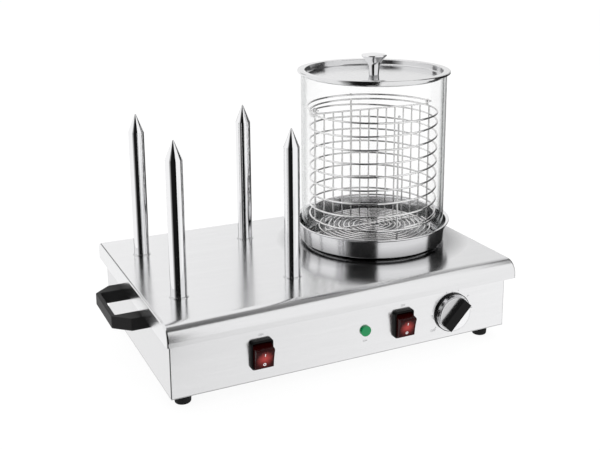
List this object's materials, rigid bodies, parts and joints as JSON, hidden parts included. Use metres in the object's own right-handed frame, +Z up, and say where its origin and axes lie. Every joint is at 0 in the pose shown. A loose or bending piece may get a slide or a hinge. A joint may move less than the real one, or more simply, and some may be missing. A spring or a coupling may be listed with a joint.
{
  "type": "hot dog toaster",
  "caption": "Stainless hot dog toaster: box body with heated bun spikes and a glass steaming cylinder with wire basket and lid, rocker switches and a dial.",
  "frame": {"origin": "bottom centre of the whole object's box, on the surface that it stands on", "axes": "+Z up, -Y towards the control panel, +X to the right with the glass cylinder"},
  "size_m": [0.54, 0.3274, 0.376],
  "materials": {
    "stainless_brushed": "fine straight brushing, semi-bright",
    "stainless_polished": "polished",
    "basket_wire": "bright electropolished wire",
    "galvanised_sheet": "dull zinc",
    "zinc_fastener": "zinc plated",
    "element_steel": "heat-darkened",
    "heat_plate_aluminium": "machined",
    "clear_glass": "clear",
    "foot_rubber": "matt",
    "black_plastic": "fine satin",
    "red_rocker": "translucent gloss",
    "green_lens": "translucent gloss",
    "knob_chrome": "bright",
    "knob_disc": "brushed",
    "copper_tube": "drawn tube",
    "block_ceramic": "matt",
    "brass_parts": "plain",
    "wire_sleeve": "silicone sleeve"
  },
  "bodies": {
    "casing": {"base_plate": "galvanised_sheet", "block_screws": "brass_parts", "body_shell": "stainless_brushed", "bun_spike_back_left": "stainless_polished", "bun_spike_back_right": "stainless_polished", "bun_spike_front_left": "stainless_polished", "bun_spike_front_right": "stainless_polished", "cable_gland": "black_plastic", "casing_screws": "zinc_fastener", "clamp_nut": "zinc_fastener", "deck_cover": "stainless_brushed", "earth_stud": "brass_parts", "element_clamp": "galvanised_sheet", "foot_back_left": "foot_rubber", "foot_back_right": "foot_rubber", "foot_front_left": "foot_rubber", "foot_front_right": "foot_rubber", "foot_nuts": "zinc_fastener", "foot_screws": "zinc_fastener", "front_panel": "stainless_brushed", "gland_nut": "black_plastic", "handle_left": "black_plastic", "handle_right": "black_plastic", "handle_screws": "zinc_fastener", "heat_plate": "heat_plate_aluminium", "heat_shield": "galvanised_sheet", "heating_element": "element_steel", "lamp_body": "black_plastic", "lamp_lens": "green_lens", "lamp_nut": "zinc_fastener", "spike_collars": "stainless_polished", "spike_heaters": "element_steel", "spike_nuts": "zinc_fastener", "switch_housing_left": "black_plastic", "switch_housing_right": "black_plastic", "switch_leads": "wire_sleeve", "terminal_block": "block_ceramic", "thermal_cutout": "element_steel", "thermostat_body": "black_plastic", "thermostat_bulb": "copper_tube", "thermostat_capillary": "copper_tube", "water_pan": "stainless_polished"},
    "glass": {"glass_cylinder": "clear_glass"},
    "lid_group": {"lid": "stainless_polished", "lid_knob": "stainless_polished", "lid_screw": "stainless_polished"},
    "basket": {"basket_coil": "basket_wire", "basket_frame": "basket_wire", "basket_divider": "basket_wire", "basket_floor": "basket_wire"},
    "bail": {"basket_bail": "basket_wire"},
    "left_rocker": {"rocker_left": "red_rocker"},
    "right_rocker": {"rocker_right": "red_rocker"},
    "thermostat_dial": {"thermostat_knob": "black_plastic", "knob_face": "knob_disc", "knob_ring": "knob_chrome", "thermostat_shaft": "element_steel"}
  },
  "joints": [
    {"name": "glass_lift", "type": "slide", "parent": "casing", "child": "glass", "axis": [0, 0, 1], "range_m": [0, 0.25]},
    {"name": "lid_lift", "type": "slide", "parent": "glass", "child": "lid_group", "axis": [0, 0, 1], "range_m": [0, 0.32]},
    {"name": "basket_lift", "type": "slide", "parent": "casing", "child": "basket", "axis": [0, 0, 1], "range_m": [0, 0.25]},
    {"name": "bail_swing", "type": "hinge", "parent": "basket", "child": "bail", "pos_m": [0.1135, 0.00965, 0.30305], "axis": [1, 0, 0], "range_deg": [0, 90]},
    {"name": "thermostat_turn", "type": "hinge", "parent": "casing", "child": "thermostat_dial", "pos_m": [0.148, -0.14825, 0.0525], "axis": [0, 1, 0], "range_deg": [0, 270]},
    {"name": "left_rocker_tilt", "type": "hinge", "parent": "casing", "child": "left_rocker", "pos_m": [-0.121, -0.14625, 0.0525], "axis": [-1, 0, 0], "range_deg": [0, 24]},
    {"name": "right_rocker_tilt", "type": "hinge", "parent": "casing", "child": "right_rocker", "pos_m": [0.073, -0.14625, 0.0525], "axis": [-1, 0, 0], "range_deg": [0, 24]}
  ],
  "couplings": [
    {"joint": "basket_lift", "follows": "lid_lift", "ratio": 0.78125},
    {"joint": "bail_swing", "follows": "lid_lift", "rad_per_m": 4.908}
  ]
}
